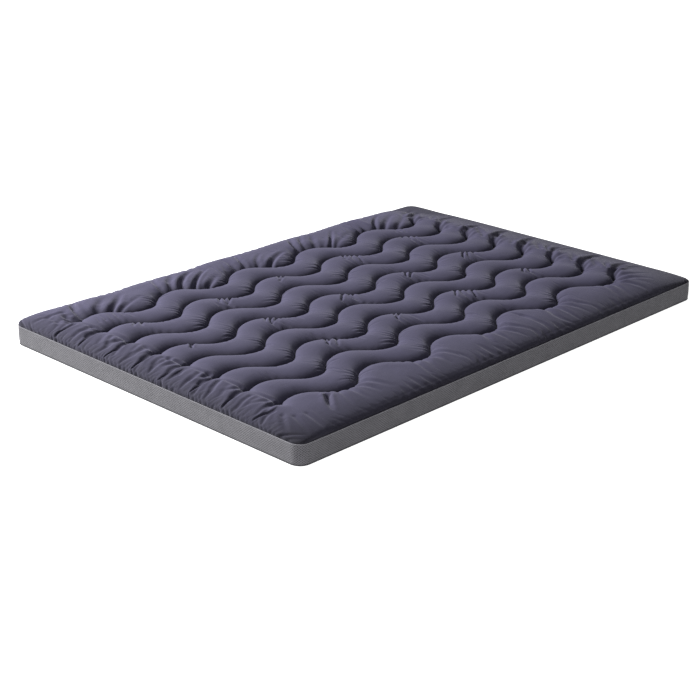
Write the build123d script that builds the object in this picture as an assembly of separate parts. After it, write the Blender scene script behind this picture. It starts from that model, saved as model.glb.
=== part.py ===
from build123d import *
import math
import os

# Quilted futon mattress for a 140 x 200 cm sleeping surface.
# Frame: +X along the length, +Y across the width, +Z up. The origin is the
# centre of the underside, so the mattress lies on the plane z = 0.
# It is built up as it is sewn: a base panel, a border strip turned in at both
# edges, a foam and fibre core, and a quilted top panel of backing, wadding and
# outer fabric held together by wavy rows of lockstitch. Millimetres.

# ---- outline ---------------------------------------------------------------
LENGTH = 2000.0
WIDTH = 1400.0
CORNER_R = 40.0          # plan radius of the four corners
SEAM_Z = 69.0            # floor to the seam between border and top panel
TOTAL_H = 100.0          # floor to the crown of the quilting

# ---- fabrics ---------------------------------------------------------------
COVER_T = 1.0            # outer fabric of the top panel
SCRIM_T = 0.6            # non-woven backing of the quilting
BASE_T = 1.2             # woven underside fabric
BASE_LIP_H = 4.0         # how far the underside fabric turns up at the edge
BAND_T = 3.0             # knitted spacer mesh of the border
LINING_T = 2.0           # non-woven lining behind the border mesh
ALLOWANCE = 9.0          # seam allowance of the border, turned inwards
THREAD = 0.8             # sewing thread, drawn as a flat run

# ---- core ------------------------------------------------------------------
CORE_INSET = 6.0         # the foam stands this far inside the outline
PAD_INSET = 13.0         # the fibre pads stand clear of the seam allowances
BASE_PAD_TOP = 7.2
SUPPORT_TOP = 43.0
COMFORT_TOP = 65.0
TOP_PAD_TOP = 68.0

# ---- quilting --------------------------------------------------------------
ROWS = 8
ROW_PITCH = 140.0        # between neighbouring rows
WAVE_LEN = 334.0         # one full wave along the row
WAVE_AMP = 40.0          # half the height of the wave
WAVE_CREST_X = -800.0    # a crest of the wave lies at this X
FLANK = math.radians(38) # slope of the straight flank between two bends
ROW_START_X = -862.0
ROW_END_X = 780.0
GROOVE_W = 10.0          # gap between two crowns above a stitch row
GROOVE_FLOOR_Z = 78.0    # outer fabric where it is stitched down
CROWN_R = 28.0           # roll of the top panel down to the seam
# the bends' radius follows from the wave's height, length and flank slope
BEND_R = (WAVE_LEN / 2 * math.tan(FLANK) - 2 * WAVE_AMP) / (
    2 * math.sin(FLANK) * math.tan(FLANK) - 2 * (1 - math.cos(FLANK))
)

# ---- border join -----------------------------------------------------------
JOIN_X = 620.0           # where the border strip's two ends meet, on the +Y side
JOIN_GAP = 0.4
JOIN_STITCHES = 7

os.makedirs("parts", exist_ok=True)


def outline(inset, height, z):
    """A rounded rectangle of the mattress outline, moved in by inset."""
    sketch = RectangleRounded(LENGTH - 2 * inset, WIDTH - 2 * inset, CORNER_R - inset)
    return Pos(0, 0, z) * extrude(sketch, height)


def ring(inner, outer, height, z):
    """A closed strip between two insets of the outline."""
    return outline(outer, height, z) - outline(inner, height + 2, z - 1)


def wave_segments():
    """The centreline of a row as (kind, middle x, first x, last x), clipped to the
    row's length: round crests and troughs joined by straight flanks."""
    reach = BEND_R * math.sin(FLANK)
    found = []
    k = -1
    while WAVE_CREST_X + (k / 2 - 0.5) * WAVE_LEN < ROW_END_X:
        mid = WAVE_CREST_X + k / 2 * WAVE_LEN
        crest = k % 2 == 0
        found.append(("crest" if crest else "trough", mid, mid - reach, mid + reach))
        found.append(
            (
                "fall" if crest else "rise",
                mid + WAVE_LEN / 4,
                mid + reach,
                mid + WAVE_LEN / 2 - reach,
            )
        )
        k += 1
    clipped = []
    for kind, mid, a, b in found:
        a, b = max(a, ROW_START_X), min(b, ROW_END_X)
        if b - a > 0.5:
            clipped.append((kind, mid, a, b))
    return clipped


def side_point(kind, mid, x, row_y, off):
    """The point beside the centreline's point at x, moved by off to its upper side."""
    if kind in ("crest", "trough"):
        turn = 1 if kind == "crest" else -1
        phi = math.asin((x - mid) / BEND_R)
        cy = row_y + turn * (WAVE_AMP - BEND_R)
        rho = BEND_R + turn * off
        return (mid + rho * math.sin(phi), cy + turn * rho * math.cos(phi))
    turn = -1 if kind == "fall" else 1
    y = row_y + turn * (x - mid) * math.tan(FLANK)
    return (x - turn * off * math.sin(FLANK), y + off * math.cos(FLANK))


def row_side(row_y, off):
    edges = []
    for kind, mid, a, b in wave_segments():
        p, q = side_point(kind, mid, a, row_y, off), side_point(kind, mid, b, row_y, off)
        if kind in ("crest", "trough"):
            edges.append(
                ThreePointArc(p, side_point(kind, mid, (a + b) / 2, row_y, off), q)
            )
        else:
            edges.append(Line(p, q))
    return edges


def row_ribbon(row_y, width, z, height):
    """A strip of constant width that follows one row of quilting."""
    upper, lower = row_side(row_y, width / 2), row_side(row_y, -width / 2)
    ends = [Line(upper[0] @ 0, lower[0] @ 0), Line(upper[-1] @ 1, lower[-1] @ 1)]
    face = make_face(upper + lower + ends)
    return Pos(0, 0, z) * extrude(face, height, dir=(0, 0, 1))


def top_edges(solid, z):
    return [e for e in solid.edges() if abs(e.center().Z - z) < 1e-3 and abs(e.bounding_box().size.Z) < 1e-3]


row_ys = [ROW_PITCH * (i - (ROWS - 1) / 2) for i in range(ROWS)]

# ---- base panel: a shallow tray, its fabric turned up round the edge ----------
base_outer = outline(0, BASE_LIP_H, 0)
base_outer = fillet(top_edges(base_outer, 0), 2.5)
base_panel = base_outer - outline(BASE_T, BASE_LIP_H, BASE_T)

# ---- border strip: an upright wall with both edges turned in ------------------
wall = ring(BAND_T, 0, SEAM_Z - BASE_LIP_H, BASE_LIP_H)
wall_outer = [
    e
    for z in (BASE_LIP_H, SEAM_Z)
    for e in top_edges(wall, z)
    if max(abs(e.bounding_box().max.X), abs(e.bounding_box().max.Y), abs(e.bounding_box().min.X), abs(e.bounding_box().min.Y)) > 0
    and (
        abs(abs(e.center().X) - LENGTH / 2) < 0.01
        or abs(abs(e.center().Y) - WIDTH / 2) < 0.01
        or (
            e.geom_type == GeomType.CIRCLE
            and abs(e.radius - CORNER_R) < 0.01
        )
    )
]
wall = fillet(wall_outer, 2.2)
foot = ring(BASE_T + ALLOWANCE, BASE_T, 3.0, BASE_T)
head = ring(BAND_T + ALLOWANCE, BAND_T - 0.5, 3.0, SEAM_Z - 3.0)
foot_wall = ring(BAND_T + 1.0, BASE_T, 3.0, BASE_T + 2.0)
band = wall + foot + head + foot_wall
join_cut = Pos(JOIN_X, WIDTH / 2 - 10, SEAM_Z / 2) * Box(JOIN_GAP, 40, SEAM_Z + 10)
border_band = band - join_cut

# ---- lining behind the border -------------------------------------------------
lining = ring(BAND_T + LINING_T, BAND_T, SEAM_Z - 3.1 - 6.4, 6.4)
lining -= Pos(JOIN_X, WIDTH / 2 - 10, SEAM_Z / 2) * Box(14, 40, SEAM_Z + 10)
border_lining = lining

# ---- stitches that close the border strip into a loop --------------------------
join_stitches = []
for i in range(JOIN_STITCHES):
    z = 12 + i * 8.0
    join_stitches.append(
        Pos(JOIN_X, WIDTH / 2 - BAND_T - THREAD / 2, z) * Box(8, THREAD, THREAD)
    )

# ---- perimeter seams, inside the turned edges ----------------------------------
top_seam = ring(BAND_T + 6.0, BAND_T + 6.0 - THREAD, THREAD, SEAM_Z - 3.0 - THREAD)
bottom_seam = ring(BASE_T + 7.0, BASE_T + 7.0 - THREAD, THREAD, BASE_T + 3.0)

# ---- core ------------------------------------------------------------------
base_pad = outline(PAD_INSET, BASE_PAD_TOP - BASE_T, BASE_T)
support_foam = outline(CORE_INSET, SUPPORT_TOP - BASE_PAD_TOP, BASE_PAD_TOP)
comfort_foam = outline(CORE_INSET, COMFORT_TOP - SUPPORT_TOP, SUPPORT_TOP)
top_pad = outline(PAD_INSET, TOP_PAD_TOP - COMFORT_TOP, COMFORT_TOP)

# ---- quilted top panel ---------------------------------------------------------
scrim = outline(COVER_T, SCRIM_T, SEAM_Z)

wadding = outline(COVER_T, TOTAL_H - COVER_T - SEAM_Z - SCRIM_T, SEAM_Z + SCRIM_T)
wadding = fillet(top_edges(wadding, TOTAL_H - COVER_T), CROWN_R - COVER_T)
for y in row_ys:
    wadding -= row_ribbon(y, GROOVE_W + 2 * COVER_T, GROOVE_FLOOR_Z - COVER_T, 40)

cover = outline(0, TOTAL_H - SEAM_Z, SEAM_Z)
cover = fillet(top_edges(cover, TOTAL_H), CROWN_R)
inner = outline(COVER_T, TOTAL_H - COVER_T - SEAM_Z + 1, SEAM_Z - 1)
inner = fillet(top_edges(inner, TOTAL_H - COVER_T), CROWN_R - COVER_T)
for y in row_ys:
    cover -= row_ribbon(y, GROOVE_W, GROOVE_FLOOR_Z, 40)
    inner -= row_ribbon(y, GROOVE_W + 2 * COVER_T, GROOVE_FLOOR_Z - COVER_T, 40)
cover -= inner

needle_threads = [row_ribbon(y, 1.2, GROOVE_FLOOR_Z, THREAD) for y in row_ys]
bobbin_threads = [row_ribbon(y, 1.2, SEAM_Z - THREAD, THREAD) for y in row_ys]


def clean(shape):
    solids = shape.solids()
    return solids[0] if len(solids) == 1 else Compound(children=list(solids))


nodes = {
    "base_panel": clean(base_panel),
    "base_fibre_pad": clean(base_pad),
    "support_foam": clean(support_foam),
    "comfort_foam": clean(comfort_foam),
    "upper_fibre_pad": clean(top_pad),
    "border_band": clean(border_band),
    "border_lining": clean(border_lining),
    "border_join_stitches": Compound(children=[s.solids()[0] for s in join_stitches]),
    "top_seam_thread": clean(top_seam),
    "bottom_seam_thread": clean(bottom_seam),
    "quilt_backing": clean(scrim),
    "quilt_wadding": clean(wadding),
    "top_cover": clean(cover),
    "needle_thread_rows": Compound(children=[s.solids()[0] for s in needle_threads]),
    "bobbin_thread_rows": Compound(children=[s.solids()[0] for s in bobbin_threads]),
}

for name, shape in nodes.items():
    shape.label = name
    export_step(shape, f"parts/{name}.step")
    print(name, round(shape.volume), len(shape.solids()))
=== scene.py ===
import math

import bpy
import numpy as np
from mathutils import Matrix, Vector


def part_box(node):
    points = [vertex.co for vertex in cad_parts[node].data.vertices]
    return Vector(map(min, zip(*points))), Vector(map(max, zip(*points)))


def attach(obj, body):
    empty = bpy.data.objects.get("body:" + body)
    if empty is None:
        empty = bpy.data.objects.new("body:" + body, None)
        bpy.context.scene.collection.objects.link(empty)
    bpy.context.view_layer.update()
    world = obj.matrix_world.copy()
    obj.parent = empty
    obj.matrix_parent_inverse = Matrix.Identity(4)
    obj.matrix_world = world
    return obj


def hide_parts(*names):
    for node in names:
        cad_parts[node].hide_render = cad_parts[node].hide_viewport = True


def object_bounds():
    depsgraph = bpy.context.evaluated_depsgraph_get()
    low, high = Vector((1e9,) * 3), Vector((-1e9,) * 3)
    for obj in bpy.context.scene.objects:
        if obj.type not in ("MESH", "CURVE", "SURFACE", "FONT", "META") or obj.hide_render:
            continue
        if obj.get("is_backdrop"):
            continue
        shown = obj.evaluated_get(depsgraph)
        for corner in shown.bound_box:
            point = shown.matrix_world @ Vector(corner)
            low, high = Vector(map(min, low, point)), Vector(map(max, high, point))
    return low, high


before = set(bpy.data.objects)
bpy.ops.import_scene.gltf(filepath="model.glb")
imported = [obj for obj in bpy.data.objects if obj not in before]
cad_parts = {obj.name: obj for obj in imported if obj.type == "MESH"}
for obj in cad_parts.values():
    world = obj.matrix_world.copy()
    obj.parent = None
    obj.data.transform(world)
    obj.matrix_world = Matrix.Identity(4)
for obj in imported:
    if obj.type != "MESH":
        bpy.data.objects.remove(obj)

cad_lo, cad_hi = (list(v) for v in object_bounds())

f4 = np.float32

# ---- sizes, metres ---------------------------------------------------------------
HALF_L, HALF_W = cad_hi[0], cad_hi[1]      # the outline of the border
CORNER = 0.040
TUCK = 0.0034                              # the cover is sewn this far inside the border's face
HX, HY, RC = HALF_L - TUCK, HALF_W - TUCK, CORNER - TUCK
SEAM_Z = 0.0672
BACKING_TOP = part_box("quilt_backing")[1].z
ROW_Z = 0.0745                             # cloth where it is stitched down
ROWS = [0.14 * (i - 3.5) for i in range(8)]
WAVE_L, WAVE_A, CREST_X = 0.334, 0.040, -0.800
ROW_X0, ROW_X1 = -0.862, 0.780
FLANK = math.radians(42)
BEND_R = (WAVE_L / 2 * math.tan(FLANK) - 2 * WAVE_A) / (
    2 * math.sin(FLANK) * math.tan(FLANK) - 2 * (1 - math.cos(FLANK))
)


# ---- small helpers ---------------------------------------------------------------
def ease(a, b, x):
    t = np.clip((x - a) / (b - a), 0, 1)
    return t * t * (3 - 2 * t)


def ripple(x, y, size, seed, waves=24):
    """Smooth seeded noise, about -1 to 1, with features of that size."""
    rng = np.random.default_rng(seed)
    out = np.zeros(np.broadcast(x, y).shape)
    for _ in range(waves):
        th, ph, f = rng.uniform(0, math.pi), rng.uniform(0, 2 * math.pi), rng.uniform(0.6, 1.4) / size
        out += np.cos(2 * math.pi * f * (x * math.cos(th) + y * math.sin(th)) + ph)
    return out / math.sqrt(waves)


def wave(x):
    """The quilting line's sideways shift: round bends joined by straight flanks."""
    reach = BEND_R * math.sin(FLANK)
    t = (x - CREST_X) / WAVE_L
    t = t - np.floor(t + 0.5)
    d = np.abs(t) * WAVE_L
    m = WAVE_L / 2 - d
    top = WAVE_A - BEND_R + np.sqrt(np.maximum(BEND_R**2 - np.minimum(d, reach) ** 2, 0))
    low = -(WAVE_A - BEND_R + np.sqrt(np.maximum(BEND_R**2 - np.minimum(m, reach) ** 2, 0)))
    mid = -(d - WAVE_L / 4) * math.tan(FLANK)
    return np.where(d < reach, top, np.where(m < reach, low, mid))


def steps(a, b, n, first=1.0, last=1.0, near=0.16):
    """n steps from a to b; first and last are the steps' weights at the two ends."""
    t = (np.arange(n * 8) + 0.5) / (n * 8)
    w = 1 - (1 - first) * np.exp(-((t / near) ** 2)) - (1 - last) * np.exp(-(((1 - t) / near) ** 2))
    s = np.concatenate([[0], np.cumsum(w)])[::8]
    return a + (b - a) * s / s[-1]


def rounded(X, Y, hx, hy, r):
    """A rectangular grid with its four corners pressed to a radius."""
    ax, ay = np.abs(X) - (hx - r), np.abs(Y) - (hy - r)
    inside = (ax > 0) & (ay > 0)
    a, b = np.clip(ax, 0, r) / r, np.clip(ay, 0, r) / r
    return (
        np.where(inside, np.sign(X) * (hx - r + r * a * np.sqrt(1 - b * b / 2)), X),
        np.where(inside, np.sign(Y) * (hy - r + r * b * np.sqrt(1 - a * a / 2)), Y),
    )


def mesh_object(name, co, quads, mats, smooth=True, attributes=(), tris=None, material_index=None):
    """A mesh from arrays of points and four-cornered faces."""
    me = bpy.data.meshes.new(name)
    co = np.asarray(co, f4).reshape(-1, 3)
    quads = np.asarray(quads, np.int32).reshape(-1, 4)
    tris = np.zeros((0, 3), np.int32) if tris is None else np.asarray(tris, np.int32).reshape(-1, 3)
    me.vertices.add(len(co))
    me.vertices.foreach_set("co", co.ravel())
    me.loops.add(quads.size + tris.size)
    me.loops.foreach_set("vertex_index", np.concatenate([quads.ravel(), tris.ravel()]))
    me.polygons.add(len(quads) + len(tris))
    starts = np.concatenate([np.arange(len(quads)) * 4, quads.size + np.arange(len(tris)) * 3])
    me.polygons.foreach_set("loop_start", starts.astype(np.int32))
    me.polygons.foreach_set("use_smooth", np.full(len(quads) + len(tris), smooth))
    for m in mats:
        me.materials.append(m)
    if material_index is not None:
        me.polygons.foreach_set("material_index", np.asarray(material_index, np.int32))
    me.update(calc_edges=True)
    me.validate()
    for label, kind, data in attributes:
        at = me.attributes.new(label, kind, "POINT")
        data = np.asarray(data, f4)
        at.data.foreach_set("vector" if kind == "FLOAT_VECTOR" else "value", data.ravel())
    ob = bpy.data.objects.new(name, me)
    bpy.context.scene.collection.objects.link(ob)
    return ob


def grid_quads(nu, nv, offset=0, flip=False):
    i, j = np.meshgrid(np.arange(nu - 1), np.arange(nv - 1), indexing="ij")
    a = (i * nv + j).ravel() + offset
    q = np.stack([a, a + nv, a + nv + 1, a + 1], 1)
    return q[:, ::-1] if flip else q


def rim_index(nu, nv):
    """The grid's boundary vertices, anticlockwise seen from above."""
    I = np.arange(nu * nv).reshape(nu, nv)
    return np.concatenate([I[:-1, 0], I[-1, :-1], I[:0:-1, -1], I[0, :0:-1]])


def ring_outline(inset, long_n=320, short_n=220, arc_n=14):
    """Points round the outline at that inset, anticlockwise from the front left corner's
    end, with their outward directions and the running length along the outer face."""
    L, W, R = HALF_L - CORNER, HALF_W - CORNER, CORNER
    pts, out, run = [], [], []
    total = 0.0
    sides = [
        ((-L, -W), (1, 0), (0, -1), 2 * L, long_n),
        ((L, -W), (0, 1), (1, 0), 2 * W, short_n),
        ((L, W), (-1, 0), (0, 1), 2 * L, long_n),
        ((-L, W), (0, -1), (-1, 0), 2 * W, short_n),
    ]
    for (cx, cy), d, n, length, count in sides:
        t = np.arange(count) / count
        c = np.stack([cx + d[0] * length * t, cy + d[1] * length * t], 1)
        o = np.tile(n, (count, 1)).astype(float)
        pts.append(c); out.append(o); run.append(total + length * t)
        total += length
        a0 = math.atan2(n[1], n[0])
        th = a0 + (np.arange(arc_n) / arc_n) * math.pi / 2
        ex, ey = cx + d[0] * length, cy + d[1] * length
        pts.append(np.tile((ex, ey), (arc_n, 1)))
        out.append(np.stack([np.cos(th), np.sin(th)], 1))
        run.append(total + R * (th - a0))
        total += R * math.pi / 2
    pts, out, run = np.concatenate(pts), np.concatenate(out), np.concatenate(run)
    return pts + out * (R - inset if np.isscalar(inset) else 0), out, run, total


# ---- materials ---------------------------------------------------------------------
class Nodes:
    """A short way to write a node tree."""

    def __init__(self, name):
        self.mat = bpy.data.materials.new(name)
        self.mat.use_nodes = True
        self.t = self.mat.node_tree
        self.t.nodes.clear()
        self.out = self.t.nodes.new("ShaderNodeOutputMaterial")
        self.bsdf = self.t.nodes.new("ShaderNodeBsdfPrincipled")
        self.t.links.new(self.bsdf.outputs[0], self.out.inputs["Surface"])

    def new(self, kind, **props):
        n = self.t.nodes.new(kind)
        for k, v in props.items():
            setattr(n, k, v)
        return n

    def link(self, a, b):
        self.t.links.new(a, b)

    def put(self, sock, value):
        if hasattr(value, "is_linked") or hasattr(value, "links"):
            self.t.links.new(value, sock)
        else:
            sock.default_value = value

    def math(self, op, a, b=0.0, clamp=False):
        n = self.new("ShaderNodeMath", operation=op, use_clamp=clamp)
        self.put(n.inputs[0], a)
        self.put(n.inputs[1], b)
        return n.outputs[0]

    def mapped(self, coords, scale):
        n = self.new("ShaderNodeMapping")
        self.link(coords, n.inputs["Vector"])
        n.inputs["Scale"].default_value = scale
        return n.outputs[0]

    def noise(self, coords, scale, detail=3.0, rough=0.5, distort=0.0):
        n = self.new("ShaderNodeTexNoise")
        self.link(coords, n.inputs["Vector"])
        n.inputs["Scale"].default_value = scale
        n.inputs["Detail"].default_value = detail
        n.inputs["Roughness"].default_value = rough
        n.inputs["Distortion"].default_value = distort
        return n.outputs[0]

    def voronoi(self, coords, scale, feature="F1", rand=1.0):
        n = self.new("ShaderNodeTexVoronoi", feature=feature)
        self.link(coords, n.inputs["Vector"])
        n.inputs["Scale"].default_value = scale
        n.inputs["Randomness"].default_value = rand
        return n.outputs["Distance"]

    def ramp(self, fac, stops, interp="LINEAR"):
        n = self.new("ShaderNodeValToRGB")
        n.color_ramp.interpolation = interp
        self.link(fac, n.inputs[0])
        e = n.color_ramp.elements
        while len(e) < len(stops):
            e.new(0.5)
        for k, (p, c) in enumerate(stops):
            e[k].position = p
            e[k].color = (*c, 1) if len(c) == 3 else c
        return n.outputs[0]

    def mix(self, kind, fac, a, b):
        n = self.new("ShaderNodeMix", data_type="RGBA", blend_type=kind)
        self.put(n.inputs[0], fac)
        self.put(n.inputs[6], a if not isinstance(a, tuple) else (*a, 1))
        self.put(n.inputs[7], b if not isinstance(b, tuple) else (*b, 1))
        return n.outputs[2]

    def span(self, v, a, b, c, d):
        n = self.new("ShaderNodeMapRange")
        self.link(v, n.inputs[0])
        for k, x in enumerate((a, b, c, d)):
            n.inputs[k + 1].default_value = x
        return n.outputs[0]

    def bump(self, height, strength, distance, under=None):
        n = self.new("ShaderNodeBump")
        n.inputs["Strength"].default_value = strength
        n.inputs["Distance"].default_value = distance
        self.link(height, n.inputs["Height"])
        if under is not None:
            self.link(under, n.inputs["Normal"])
        return n.outputs[0]


def srgb(r, g, b):
    return tuple(((c / 255) / 12.92 if c / 255 <= 0.04045 else ((c / 255 + 0.055) / 1.055) ** 2.4) for c in (r, g, b))


def shade(c, k):
    return tuple(x * k for x in c)


def weave_height(n, coords, threads_per_m):
    """A plain weave: two sets of rounded threads that pass over and under each other."""
    sep = n.new("ShaderNodeSeparateXYZ")
    n.link(coords, sep.inputs[0])
    k = math.pi * threads_per_m
    sx = n.math("SINE", n.math("MULTIPLY", sep.outputs[0], k))
    sy = n.math("SINE", n.math("MULTIPLY", sep.outputs[1], k))
    cx = n.math("COSINE", n.math("MULTIPLY", sep.outputs[0], k))
    cy = n.math("COSINE", n.math("MULTIPLY", sep.outputs[1], k))
    warp = n.math("MULTIPLY", n.math("ABSOLUTE", cx), n.math("ADD", n.math("MULTIPLY", n.math("MULTIPLY", cy, sx), 0.5), 0.5))
    weft = n.math("MULTIPLY", n.math("ABSOLUTE", cy), n.math("SUBTRACT", 0.5, n.math("MULTIPLY", n.math("MULTIPLY", cx, sy), 0.5)))
    return n.math("MAXIMUM", warp, weft)


def attribute(n, name):
    a = n.new("ShaderNodeAttribute", attribute_name=name)
    return a.outputs["Vector"]


def quilt_material():
    n = Nodes("brushed_microfibre")
    uv = attribute(n, "flat")
    base = srgb(58.5, 56, 76)
    cloud = n.noise(uv, 9, 3, 0.55)
    nap = n.noise(n.mapped(uv, (26, 90, 1)), 1.0, 4, 0.6, 0.6)
    grain = n.noise(uv, 900, 2, 0.6)
    col = n.ramp(cloud, [(0.30, shade(base, 0.93)), (0.70, shade(base, 1.07))])
    col = n.mix("MULTIPLY", 1.0, col, n.ramp(nap, [(0.32, (0.92, 0.92, 0.925)), (0.68, (1.06, 1.06, 1.055))]))
    col = n.mix("MULTIPLY", 1.0, col, n.ramp(grain, [(0.30, (0.86, 0.86, 0.87)), (0.70, (1.12, 1.12, 1.11))]))
    # painted shade and light: the colour is darkened in the creases beside the stitched rows and lightened on the
    # crowns, by the crown attribute (height above the stitching)
    crown = n.new("ShaderNodeAttribute", attribute_name="crown")
    col = n.mix("MULTIPLY", 1.0, col, n.ramp(crown.outputs["Fac"], [(0.0, (0.56, 0.56, 0.58)), (0.25, (0.85, 0.85, 0.86)), (0.62, (0.98, 0.98, 0.98)), (1.0, (1.12, 1.12, 1.11))]))
    # painted shade: the colour darkens towards the left, right and front seams, by the factor set on the cover mesh
    margin = n.new("ShaderNodeAttribute", attribute_name="margin")
    col = n.mix("MULTIPLY", 1.0, col, n.ramp(margin.outputs["Fac"], [(0.0, (0.0, 0.0, 0.0)), (1.0, (1.0, 1.0, 1.0))]))
    # painted shade and highlight by viewing angle: the base colour is halved where the cloth faces the viewer and
    # raised where it is seen edge on
    view_angle_shade = n.new("ShaderNodeLayerWeight")
    view_angle_shade.inputs["Blend"].default_value = 0.5
    col = n.mix("MULTIPLY", 1.0, col, n.ramp(view_angle_shade.outputs["Facing"], [(0.05, (0.50, 0.49, 0.50)), (0.40, (0.74, 0.74, 0.75)), (0.64, (1.0, 1.0, 1.0)), (0.92, (1.32, 1.32, 1.31))]))
    n.link(col, n.bsdf.inputs["Base Color"])
    n.link(n.span(nap, 0.3, 0.7, 0.78, 0.92), n.bsdf.inputs["Roughness"])
    n.bsdf.inputs["Specular IOR Level"].default_value = 0.25
    n.bsdf.inputs["Sheen Weight"].default_value = 0.12
    n.bsdf.inputs["Sheen Roughness"].default_value = 0.40
    n.bsdf.inputs["Sheen Tint"].default_value = (0.80, 0.79, 0.90, 1)
    weave = weave_height(n, uv, 1150)
    nrm = n.bump(weave, 0.35, 0.0003)
    nrm = n.bump(grain, 0.35, 0.0004, nrm)
    nrm = n.bump(nap, 0.30, 0.0012, nrm)
    n.link(nrm, n.bsdf.inputs["Normal"])
    return n.mat


def band_material():
    n = Nodes("knitted_spacer_mesh")
    uv = attribute(n, "strip")
    sep = n.new("ShaderNodeSeparateXYZ")
    n.link(uv, sep.inputs[0])
    s, t = sep.outputs[0], sep.outputs[1]
    wob = n.noise(uv, 60, 2, 0.5)
    s2 = n.math("ADD", s, n.math("MULTIPLY", n.math("SUBTRACT", wob, 0.5), 0.0016))
    # diagonal ribs both ways make the open diamonds of the knit
    pu, pv = 2 * math.pi / 0.0090, 2 * math.pi / 0.0076
    a = n.math("SINE", n.math("ADD", n.math("MULTIPLY", s2, pu), n.math("MULTIPLY", t, pv)))
    b = n.math("SINE", n.math("SUBTRACT", n.math("MULTIPLY", s2, pu), n.math("MULTIPLY", t, pv)))
    ribs = n.math("MAXIMUM", a, b)
    holes = n.span(ribs, -0.55, 0.5, 0.0, 1.0)
    yarn = n.noise(n.mapped(uv, (1, 1, 1)), 1500, 3, 0.65)
    patch = n.noise(uv, 18, 3, 0.55)
    base = srgb(72.5, 71.5, 76)
    # the ribs are the knit's pattern; the open diamonds are painted near black as shade in the holes
    col = n.ramp(holes, [(0.0, shade(base, 0.26)), (0.45, shade(base, 0.80)), (1.0, shade(base, 1.34))])
    col = n.mix("MULTIPLY", 1.0, col, n.ramp(yarn, [(0.30, (0.80, 0.80, 0.80)), (0.70, (1.16, 1.16, 1.16))]))
    col = n.mix("MULTIPLY", 1.0, col, n.ramp(patch, [(0.30, (0.88, 0.88, 0.885)), (0.70, (1.10, 1.10, 1.095))]))
    # painted highlight: the strip's rolled top edge is painted twice as pale as the band, with the yarn's tone
    rim = n.new("ShaderNodeAttribute", attribute_name="rim")
    col = n.mix("MIX", rim.outputs["Fac"], col, n.mix("MULTIPLY", 1.0, shade(base, 2.0), n.ramp(yarn, [(0.30, (0.86,) * 3), (0.70, (1.1,) * 3)])))
    n.link(col, n.bsdf.inputs["Base Color"])
    n.link(n.span(holes, 0.0, 1.0, 0.95, 0.72), n.bsdf.inputs["Roughness"])
    n.bsdf.inputs["Specular IOR Level"].default_value = 0.3
    n.bsdf.inputs["Sheen Weight"].default_value = 0.10
    n.bsdf.inputs["Sheen Roughness"].default_value = 0.5
    nrm = n.bump(holes, 0.8, 0.0011)
    nrm = n.bump(yarn, 0.4, 0.0003, nrm)
    n.link(nrm, n.bsdf.inputs["Normal"])
    return n.mat


def woven_material(name, base, threads, attr=None, rough=0.85, speck=0.12, spec=0.25):
    n = Nodes(name)
    uv = attribute(n, attr) if attr else n.new("ShaderNodeTexCoord").outputs["Object"]
    w = weave_height(n, uv, threads)
    cloud = n.noise(uv, 7, 3, 0.55)
    slub = n.noise(n.mapped(uv, (6, 260, 6)), 1.0, 3, 0.6)
    fuzz = n.noise(uv, 1300, 2, 0.6)
    # painted shade: the cloth is darker where the threads dip under each other and lighter on the crossings
    col = n.ramp(w, [(0.0, shade(base, 0.55)), (1.0, shade(base, 1.18))])
    col = n.mix("MULTIPLY", 1.0, col, n.ramp(cloud, [(0.3, (0.94,) * 3), (0.7, (1.05,) * 3)]))
    col = n.mix("MULTIPLY", 1.0, col, n.ramp(slub, [(0.3, (1 - speck,) * 3), (0.7, (1 + speck,) * 3)]))
    n.link(col, n.bsdf.inputs["Base Color"])
    n.link(n.span(slub, 0.3, 0.7, rough - 0.06, rough + 0.06), n.bsdf.inputs["Roughness"])
    n.bsdf.inputs["Specular IOR Level"].default_value = spec
    nrm = n.bump(w, 0.6, 0.0006)
    nrm = n.bump(fuzz, 0.3, 0.0003, nrm)
    n.link(nrm, n.bsdf.inputs["Normal"])
    return n.mat


def nonwoven_material():
    """Point-bonded fleece: loose fibres with a regular field of pressed dots."""
    n = Nodes("point_bonded_nonwoven")
    co = n.new("ShaderNodeTexCoord").outputs["Object"]
    fibre = n.noise(n.mapped(co, (420, 1400, 700)), 1.0, 5, 0.7, 1.2)
    fibre2 = n.noise(n.mapped(co, (1300, 380, 800)), 1.0, 5, 0.7, 1.2)
    dots = n.voronoi(co, 240, rand=0.12)
    pressed = n.span(dots, 0.18, 0.34, 0.0, 1.0)
    mixf = n.math("MAXIMUM", fibre, fibre2)
    base = srgb(226, 225, 221)
    col = n.ramp(mixf, [(0.35, shade(base, 0.78)), (0.75, base)])
    col = n.mix("MULTIPLY", 1.0, col, n.ramp(pressed, [(0.0, (0.80, 0.80, 0.79)), (1.0, (1, 1, 1))]))
    n.link(col, n.bsdf.inputs["Base Color"])
    n.link(n.span(pressed, 0, 1, 0.55, 0.92), n.bsdf.inputs["Roughness"])
    n.bsdf.inputs["Sheen Weight"].default_value = 0.15
    nrm = n.bump(pressed, 0.7, 0.0006)
    nrm = n.bump(mixf, 0.5, 0.0004, nrm)
    n.link(nrm, n.bsdf.inputs["Normal"])
    return n.mat


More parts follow.
